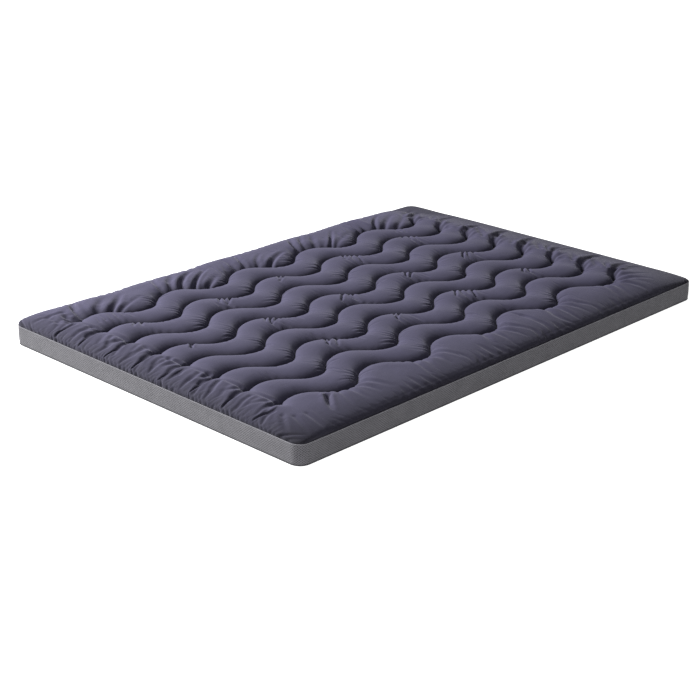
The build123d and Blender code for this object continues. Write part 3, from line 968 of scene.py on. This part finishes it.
# ---- soft slabs ------------------------------------------------------------------------
def slab(name, hx, hy, r, top, low, mat, nx=120, ny=84, side_rows=6, attributes=()):
    """A closed plate: top and low give z over the grid, and the sides join their rims."""
    xs, ys = steps(-hx, hx, nx, 0.12, 0.12, 0.02), steps(-hy, hy, ny, 0.12, 0.12, 0.03)
    X, Y = np.meshgrid(xs, ys, indexing="ij")
    X, Y = rounded(X, Y, hx, hy, r)
    edge = np.minimum(hx - np.abs(X), hy - np.abs(Y))
    edge = np.maximum(edge, 0)
    T = np.stack([X, Y, top(X, Y, edge)], -1).reshape(-1, 3)
    B = np.stack([X, Y, low(X, Y, edge)], -1).reshape(-1, 3)
    n = len(T)
    rim = rim_index(nx + 1, ny + 1)
    pts = [T, B]
    quads = [grid_quads(nx + 1, ny + 1), grid_quads(nx + 1, ny + 1, n, True)]
    prev, base = rim, 2 * n
    for k in range(1, side_rows):
        t = k / side_rows
        p = T[rim] * (1 - t) + B[rim] * t
        bow = 0.0006 * math.sin(math.pi * t)
        c = p[:, :2] / np.array([hx, hy])
        p[:, :2] += bow * np.sign(c) * (np.abs(c) > 0.985)
        pts.append(p)
        idx = base + np.arange(len(rim))
        quads.append(np.stack([prev, idx, np.roll(idx, -1), np.roll(prev, -1)], 1))
        prev, base = idx, base + len(rim)
    quads.append(np.stack([prev, rim + n, np.roll(rim + n, -1), np.roll(prev, -1)], 1))
    ob = mesh_object(name, np.concatenate(pts), np.concatenate(quads), [mat], attributes=attributes)
    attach(ob, "root")
    return ob


def round_off(edge, r):
    """How far a surface drops near its rim, for a rounded edge of that radius."""
    t = np.clip(edge / r, 0, 1)
    return r * (1 - np.sqrt(np.clip(1 - (1 - t) ** 2, 0, 1)))


def foam_slab(name, node, mat, seed, edge_r=0.004):
    lo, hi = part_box(node)
    z0, z1 = lo.z, hi.z
    ob = slab(
        name, hi.x - 0.0006, hi.y - 0.0006, 0.034,
        lambda X, Y, e: z1 - 0.0004 - round_off(e, edge_r) + 0.00035 * ripple(X, Y, 0.09, seed),
        lambda X, Y, e: z0 + 0.0004 + round_off(e, edge_r) + 0.00025 * ripple(X, Y, 0.11, seed + 1),
        mat,
    )
    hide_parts(node)
    return ob


def fibre_slab(name, node, seed):
    lo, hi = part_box(node)
    z0, z1 = lo.z, hi.z
    h = z1 - z0
    ob = slab(
        name, hi.x - 0.001, hi.y - 0.001, 0.027,
        lambda X, Y, e: z1 - 0.0003 - np.minimum(round_off(e, h * 0.45), h * 0.4) + 0.00018 * ripple(X, Y, 0.02, seed) - 0.0001,
        lambda X, Y, e: z0 + 0.0003 + np.minimum(round_off(e, h * 0.45), h * 0.4),
        MAT_FIBRE, nx=200, ny=140, side_rows=3,
    )
    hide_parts(node)
    return ob


support = foam_slab("support_foam_block", "support_foam", MAT_FOAM_FIRM, 21)
comfort = foam_slab("comfort_foam_block", "comfort_foam", MAT_FOAM_SOFT, 23)
lower_pad = fibre_slab("lower_fibre_pad", "base_fibre_pad", 31)
upper_pad = fibre_slab("upper_fibre_pad_layer", "upper_fibre_pad", 33)


def under_cover():
    """The height that stays below the cover everywhere, as a regular grid of 5 mm."""
    nu, nv = 400, 280
    low = np.full((nu, nv), 9.0)
    px, py, pz = (q.astype(float) for q in cloth.P)
    for fx, fy in ((0, 0), (0.5, 0), (0, 0.5), (0.5, 0.5)):
        a = [(1 - fx) * ((1 - fy) * q[:-1, :-1] + fy * q[:-1, 1:]) + fx * ((1 - fy) * q[1:, :-1] + fy * q[1:, 1:]) for q in (px, py, pz)]
        i = np.clip(((a[0] + 1.0) / 2.0 * nu).astype(int), 0, nu - 1)
        j = np.clip(((a[1] + 0.7) / 1.4 * nv).astype(int), 0, nv - 1)
        np.minimum.at(low, (i.ravel(), j.ravel()), a[2].ravel())
    for _ in range(3):
        p = np.pad(low, 1, mode="edge")
        low = np.min([p[1 + a : 1 + a + nu, 1 + b : 1 + b + nv] for a in (-1, 0, 1) for b in (-1, 0, 1)], axis=0)
    keep = low.copy()
    for _ in range(4):
        p = np.pad(low, 1, mode="edge")
        low = np.minimum(keep, np.mean([p[1 + a : 1 + a + nu, 1 + b : 1 + b + nv] for a in (-1, 0, 1) for b in (-1, 0, 1)], axis=0))
    return low


def sample(grid, X, Y):
    nu, nv = grid.shape
    u = np.clip((X + 1.0) / 2.0 * nu - 0.5, 0, nu - 1.001)
    v = np.clip((Y + 0.7) / 1.4 * nv - 0.5, 0, nv - 1.001)
    i, j = u.astype(int), v.astype(int)
    a, b = u - i, v - j
    return (1 - a) * ((1 - b) * grid[i, j] + b * grid[i, j + 1]) + a * ((1 - b) * grid[i + 1, j] + b * grid[i + 1, j + 1])


def wadding_piece():
    """The loose filling under the cover: it fills the cover's shape from inside."""
    below = under_cover()
    low = BACKING_TOP + 0.0003
    ob = slab(
        "quilt_wadding_fill", HX - 0.0075, HY - 0.0075, 0.028,
        lambda X, Y, e: np.maximum(sample(below, X, Y) - 0.0012 + 0.0003 * ripple(X, Y, 0.018, 41), low + 0.0008),
        lambda X, Y, e: np.full(X.shape, low),
        MAT_FIBRE, nx=260, ny=182, side_rows=2,
    )
    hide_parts("quilt_wadding")
    return ob


wadding = wadding_piece()


def thin_sheet(name, node, mat, r, top, thick, nx, ny, inset=0.0006):
    lo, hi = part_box(node)
    ob = slab(
        name, hi.x - inset, hi.y - inset, r, top, lambda X, Y, e: top(X, Y, e) - thick, mat, nx=nx, ny=ny, side_rows=1,
    )
    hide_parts(node)
    return ob


def backing_top(X, Y, e):
    """The backing is caught in the seam with the cover, and drawn down a little where
    each row of stitching goes through."""
    z = 0.0669 + (BACKING_TOP - 0.0669) * ease(0.006, 0.030, e)
    on = ease(ROW_X0 - 0.01, ROW_X0, X) * (1 - ease(ROW_X1, ROW_X1 + 0.01, X))
    for y in ROWS:
        z = z - 0.00012 * on * np.exp(-(((Y - y - wave(X)) / 0.006) ** 2))
    return z


backing = thin_sheet("quilt_backing_fleece", "quilt_backing", MAT_NONWOVEN, 0.034, backing_top, 0.0004, 330, 230, inset=0.0055)


# ---- the border ------------------------------------------------------------------------
def loft(name, profile, mats, long_n=320, short_n=220, arc_n=14, wobble=None, join=None, strip="strip"):
    """A closed strip round the outline. profile is a closed loop of (inset, z); wobble
    moves each point outwards by a function of the running length and z."""
    base, out, run, total = ring_outline(0.0, long_n, short_n, arc_n)
    n, m = len(run), len(profile)
    prof = np.array(profile, float)
    acc = np.concatenate([[0], np.cumsum(np.hypot(*np.diff(prof, axis=0).T))])
    co = np.zeros((n, m, 3))
    uv = np.zeros((n, m, 3))
    for k, (inset, z) in enumerate(prof):
        d = np.full(n, -inset)
        dz = np.zeros(n)
        if wobble is not None:
            a, b = wobble(run, total, inset, z)
            d = d + a
            dz = dz + b
        if join is not None:
            d = d + join(base, out, inset, z)
        co[:, k, :2] = base + out * d[:, None]
        co[:, k, 2] = z + dz
        uv[:, k, 0] = run
        uv[:, k, 1] = acc[k]
    i, j = np.meshgrid(np.arange(n), np.arange(m), indexing="ij")
    a = i * m + j
    b = ((i + 1) % n) * m + j
    c = ((i + 1) % n) * m + (j + 1) % m
    d = i * m + (j + 1) % m
    q = np.stack([a, b, c, d], -1).reshape(-1, 4)
    # rim marks the strip's rolled top edge, where the band material paints a pale highlight
    top = np.array([1.0 if z > 0.0664 and inset < 0.0024 else 0.0 for inset, z in profile])
    ob = mesh_object(name, co.reshape(-1, 3), q, mats, attributes=[(strip, "FLOAT_VECTOR", uv.reshape(-1, 3)), ("rim", "FLOAT", np.tile(top, n))])
    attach(ob, "root")
    return ob


JOIN_X = 0.620


def band_join(base, out, inset, z):
    """The strip's two ends meet here and are drawn in by the stitches behind."""
    near = (out[:, 1] > 0.5) * np.exp(-(((base[:, 0] - JOIN_X) / 0.0022) ** 2))
    return -0.0013 * near if inset < 1.5e-3 else 0 * near


def band_wobble(run, total, inset, z):
    """Small slack in the strip, and the pinch of the stitches near both seams."""
    s = run / total * 2 * math.pi
    outer = 1.0 if inset < 0.002 else 0.3
    rng = np.random.default_rng(5)
    a = np.zeros_like(run)
    for _ in range(10):
        k, ph = rng.integers(9, 60), rng.uniform(0, 2 * math.pi)
        a += np.cos(k * s + ph) / 10**0.5
    mid = math.sin(math.pi * np.clip(z / 0.069, 0, 1))
    b = np.zeros_like(run)
    for _ in range(8):
        k, ph = rng.integers(260, 420), rng.uniform(0, 2 * math.pi)
        b += np.cos(k * s + ph) / 8**0.5
    top = math.exp(-(((z - 0.0685) / 0.004) ** 2))
    low = math.exp(-(((z - 0.004) / 0.003) ** 2))
    return outer * (0.00035 * a * mid + 0.00013 * b * (top + low)), 0.00018 * b * top * (outer > 0.5) + 0.0002 * a * top


band_profile = [
    # up the outer face, from the bottom roll to the top roll
    (0.0100, 0.0014), (0.0060, 0.0013), (0.0024, 0.0016), (0.0016, 0.0028), (0.0012, 0.0045),
    (0.0007, 0.0062), (0.0004, 0.0090), (0.0001, 0.0140), (-0.0002, 0.0210), (-0.0003, 0.0290), (-0.0004, 0.0370),
    (-0.0003, 0.0450), (-0.0002, 0.0520), (0.0000, 0.0580), (0.0002, 0.0620), (0.0005, 0.0648),
    (0.0006, 0.0660), (0.0003, 0.0669), (0.0000, 0.0678), (0.0002, 0.0686), (0.0008, 0.0691), (0.0016, 0.0690),
    (0.0022, 0.0684), (0.0025, 0.0675), (0.0028, 0.0666), (0.0045, 0.0661), (0.0080, 0.0660), (0.0118, 0.0658),
    # back down inside
    (0.0118, 0.0636), (0.0080, 0.0634), (0.0048, 0.0632), (0.0036, 0.0620), (0.0033, 0.0590), (0.0031, 0.0500),
    (0.0031, 0.0350), (0.0031, 0.0200), (0.0034, 0.0090), (0.0038, 0.0056), (0.0050, 0.0042), (0.0080, 0.0039), (0.0100, 0.0036),
]
band = loft("border_mesh_band", [(a, b) for a, b in band_profile], [MAT_BAND], 480, 330, 16, band_wobble, band_join)
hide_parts("border_band")

lining_profile = [
    (0.0034, 0.0072), (0.0033, 0.0120), (0.0033, 0.0220), (0.0033, 0.0350), (0.0033, 0.0480), (0.0034, 0.0580), (0.0036, 0.0616),
    (0.0052, 0.0616), (0.0053, 0.0580), (0.0052, 0.0480), (0.0052, 0.0350), (0.0052, 0.0220), (0.0052, 0.0120), (0.0053, 0.0072),
]
lining = loft("border_lining_fleece", lining_profile, [MAT_NONWOVEN], 200, 140, 12)
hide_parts("border_lining")


# ---- the underside ---------------------------------------------------------------------
def base_piece():
    """The underside cloth: flat on the floor, rolled up round the edge to the border."""
    nx, ny = 260, 184
    r = CORNER
    xs, ys = steps(-HALF_L, HALF_L, nx, 0.10, 0.10, 0.02), steps(-HALF_W, HALF_W, ny, 0.10, 0.10, 0.028)
    X, Y = np.meshgrid(xs, ys, indexing="ij")
    X, Y = rounded(X, Y, HALF_L, HALF_W, r)
    edge = np.maximum(np.minimum(HALF_L - np.abs(X), HALF_W - np.abs(Y)), 0)
    cx, cy = np.abs(X) - (HALF_L - r), np.abs(Y) - (HALF_W - r)
    incorner = (cx > 0) & (cy > 0)
    edge = np.where(incorner, np.maximum(r - np.hypot(cx, cy), 0), edge)
    pucker = 0.00022 * (1 + ripple(X, Y, 0.022, 51)) * np.exp(-((edge - 0.012) / 0.012) ** 2)
    slack = 0.00022 * (1 + ripple(X, Y, 0.16, 53)) * ease(0.01, 0.08, edge)
    z = np.clip(pucker, 0, 1) + np.clip(slack, 0, 1)
    low = z + round_off(edge, 0.0026) * 0.9
    L = np.stack([X, Y, low], -1).reshape(-1, 3)
    k = np.array([(HALF_L - 0.0012) / HALF_L, (HALF_W - 0.0012) / HALF_W])
    T = np.stack([X * k[0], Y * k[1], low + 0.0010], -1).reshape(-1, 3)
    n = len(L)
    rim = rim_index(nx + 1, ny + 1)
    pts = [L, T]
    quads = [grid_quads(nx + 1, ny + 1, 0, True), grid_quads(nx + 1, ny + 1, n)]
    # the lip: up the outside, rolled over at the top and down the inside
    prev, base = rim, 2 * n
    wob = 0.00015 * ripple(L[rim, 0], L[rim, 1], 0.02, 55)
    for off, z0 in ((0.0002, 0.0031), (0.0002, 0.0036), (0.0000, 0.0041), (-0.0004, 0.0044), (-0.0009, 0.0041), (-0.0010, 0.0034)):
        p = L[rim].copy()
        c = p[:, :2]
        d = np.abs(c) - np.array([HALF_L - r, HALF_W - r])
        o = np.sign(c) * (d > 0)
        both = (d > 0).all(1)
        o[both] = np.sign(c[both]) * d[both] / r
        p[:, :2] += o * off
        p[:, 2] = z0 + wob
        pts.append(p)
        idx = base + np.arange(len(rim))
        quads.append(np.stack([prev, np.roll(prev, -1), np.roll(idx, -1), idx], 1))
        prev, base = idx, base + len(rim)
    quads.append(np.stack([prev, np.roll(prev, -1), np.roll(rim + n, -1), rim + n], 1))
    ob = mesh_object("underside_panel", np.concatenate(pts), np.concatenate(quads), [MAT_BASE])
    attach(ob, "root")
    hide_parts("base_panel")
    return ob


base_panel = base_piece()


# ---- thread ------------------------------------------------------------------------------
def stitches(name, lines, node, mat, pitch=0.0048, length=0.0040, radius=0.00042, sides=6, dip=0.0007, down=-1):
    """Separate stitches along each line of points (x, y, z): each comes up through the
    cloth, lies on it and goes down again."""
    shape = [(-0.5, 0.45, 1.0), (-0.42, 0.85, 0.45), (-0.2, 1.0, 0.0), (0.2, 1.0, 0.0), (0.42, 0.85, 0.45), (0.5, 0.45, 1.0)]
    co, ply, quads = [], [], []
    at = 0
    caps = []
    for line in lines:
        line = np.asarray(line, float)
        run = np.concatenate([[0], np.cumsum(np.linalg.norm(np.diff(line, axis=0), axis=1))])
        count = int(run[-1] / pitch)
        mids = (np.arange(count) + 0.5) * run[-1] / count
        rings = []
        for t, wide, dive in shape:
            u = mids + t * length
            c = np.stack([np.interp(u, run, line[:, k]) for k in range(3)], 1)
            a = np.stack([np.interp(u + 0.0005, run, line[:, k]) for k in range(3)], 1)
            b = np.stack([np.interp(u - 0.0005, run, line[:, k]) for k in range(3)], 1)
            d = a - b
            d /= np.linalg.norm(d, axis=1, keepdims=True) + 1e-12
            side = np.cross(d, (0.0, 0.0, 1.0))
            side /= np.linalg.norm(side, axis=1, keepdims=True) + 1e-12
            c[:, 2] += down * dip * dive
            th = 2 * math.pi * np.arange(sides) / sides
            ring = c[:, None] + radius * wide * (side[:, None] * np.cos(th)[None, :, None] + np.array([0, 0, 1.0]) * np.sin(th)[None, :, None])
            rings.append(ring)
            ply.append(None)
        R = np.stack(rings, 1)                      # stitch, ring, side, xyz
        nr = len(shape)
        co.append(R.reshape(-1, 3))
        s = np.arange(count)[:, None, None] * nr * sides + at
        r = np.arange(nr - 1)[None, :, None] * sides
        k = np.arange(sides)[None, None, :]
        a = s + r + k
        b = s + r + (k + 1) % sides
        quads.append(np.stack([a, b, b + sides, a + sides], -1).reshape(-1, 4))
        first = at + np.arange(count) * nr * sides
        for f0, rev in ((first, True), (first + (nr - 1) * sides, False)):
            for (p, q, u, v) in ((0, 1, 2, 3), (0, 3, 4, 5)):
                cap = np.stack([f0 + p, f0 + q, f0 + u, f0 + v], 1)
                caps.append(cap[:, ::-1] if rev else cap)
        at += count * nr * sides
    co = np.concatenate(co)
    n_st = len(co) // (len(shape) * sides)
    pl = np.zeros((n_st, len(shape), sides, 3))
    pl[..., 0] = np.array([t for t, _, _ in shape])[None, :, None] * length
    pl[..., 1] = np.arange(sides)[None, None, :] / sides
    ob = mesh_object(name, co, np.concatenate(quads + caps), [mat], attributes=[("ply", "FLOAT_VECTOR", pl.reshape(-1, 3))])
    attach(ob, "root")
    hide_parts(node)
    return ob


def row_lines(z_of):
    x = np.linspace(ROW_X0, ROW_X1, 700)
    return [np.stack([x, y + wave(x), z_of(x, r)], 1) for r, y in enumerate(ROWS)]


def needle_z(x, r):
    j = cloth.rowj[r]
    return np.interp(x, cloth.P[0][:, j], cloth.P[2][:, j]) + 0.00035


needle = stitches("needle_thread_stitches", row_lines(needle_z), "needle_thread_rows", MAT_THREAD)
bobbin = stitches("bobbin_thread_stitches", row_lines(lambda x, r: 0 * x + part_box("quilt_backing")[0].z - 0.0003), "bobbin_thread_rows", MAT_THREAD, down=1)


def seam_line(inset, z):
    p, out, run, total = ring_outline(0.0, 60, 40, 10)
    q = p - out * inset
    return np.concatenate([np.stack([q[:, 0], q[:, 1], np.full(len(q), z)], 1), [[q[0, 0], q[0, 1], z]]])


top_seam = stitches("top_seam_stitches", [seam_line(0.0086, 0.0631)], "top_seam_thread", MAT_SEAM, pitch=0.0045, length=0.0037, down=1)
low_seam = stitches("bottom_seam_stitches", [seam_line(0.0078, 0.0044)], "bottom_seam_thread", MAT_SEAM, pitch=0.0045, length=0.0037)


def join_piece():
    zs = np.linspace(0.009, 0.060, 40)
    y = HALF_W - 0.0036
    line = np.stack([np.full(40, JOIN_X), np.full(40, y), zs], 1)
    # a vertical run: the same stitches, turned upright
    x = np.linspace(0, zs[-1] - zs[0], 40)
    ob = stitches("border_join_lockstitch", [np.stack([x, 0 * x, 0 * x], 1)], "border_join_stitches", MAT_SEAM, pitch=0.0043, length=0.0035, down=1)
    n = len(ob.data.vertices)
    c = np.zeros(n * 3, f4)
    ob.data.vertices.foreach_get("co", c)
    c = c.reshape(-1, 3)
    new = np.stack([JOIN_X + c[:, 1], y - c[:, 2] * -1.0, zs[0] + c[:, 0]], 1)
    ob.data.vertices.foreach_set("co", new.astype(f4).ravel())
    ob.data.update()
    return ob


join = join_piece()


# ---- stage, light and camera ---------------------------------------------------------------
def stage():
    n = Nodes("pale_floor")
    co = n.new("ShaderNodeTexCoord").outputs["Object"]
    v = n.noise(co, 1.5, 2, 0.5)
    n.link(n.ramp(v, [(0.3, (0.49, 0.49, 0.49)), (0.7, (0.51, 0.51, 0.51))]), n.bsdf.inputs["Base Color"])
    n.bsdf.inputs["Roughness"].default_value = 0.9
    n.bsdf.inputs["Specular IOR Level"].default_value = 0.0
    n.bsdf.inputs["Emission Color"].default_value = (1, 1, 1, 1)
    n.bsdf.inputs["Emission Strength"].default_value = 1.0
    s = 40.0
    floor = mesh_object("floor", [(-s, -s, -0.0004), (s, -s, -0.0004), (s, s, -0.0004), (-s, s, -0.0004)], [(0, 1, 2, 3)], [n.mat])
    floor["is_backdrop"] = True

    world = bpy.data.worlds.new("studio")
    bpy.context.scene.world = world
    world.use_nodes = True
    bg = world.node_tree.nodes["Background"] if "Background" in world.node_tree.nodes else world.node_tree.nodes.new("ShaderNodeBackground")
    bg.inputs["Color"].default_value = (1, 1, 1, 1)
    bg.inputs["Strength"].default_value = 0.21

    def area(name, at, aim, size, power, colour=(1, 1, 1)):
        d = bpy.data.lights.new(name, "AREA")
        d.shape = "RECTANGLE"
        d.size, d.size_y = size
        d.energy = power
        d.color = colour
        o = bpy.data.objects.new(name, d)
        o.location = at
        o.rotation_euler = (Vector(aim) - Vector(at)).to_track_quat("-Z", "Y").to_euler()
        bpy.context.scene.collection.objects.link(o)

    area("key", (-3.35, 4.3, 3.9), (0.0, 0.0, 0.05), (1.9, 1.9), 1040)
    area("fill", (-2.6, -2.5, 1.2), (-0.8, -0.7, 0.03), (0.8, 0.8), 34)

    az, el, dist = math.radians(-45.6054), math.radians(21.6312), 5.2135
    back = Vector((math.sin(az) * math.cos(el), -math.cos(az) * math.cos(el), math.sin(el)))
    cam = bpy.data.cameras.new("camera")
    cam.lens = 1548.16 / 700 * 36
    cam.sensor_width = 36
    cam.clip_end = 100
    o = bpy.data.objects.new("camera", cam)
    o.location = Vector((-0.2489, -0.1626, 0)) + back * dist
    o.rotation_euler = (-back).to_track_quat("-Z", "Y").to_euler()
    bpy.context.scene.collection.objects.link(o)
    bpy.context.scene.camera = o
    bpy.context.scene.view_settings.view_transform = "Standard"
    bpy.context.scene.view_settings.look = "None"


stage()

bpy.context.view_layer.update()
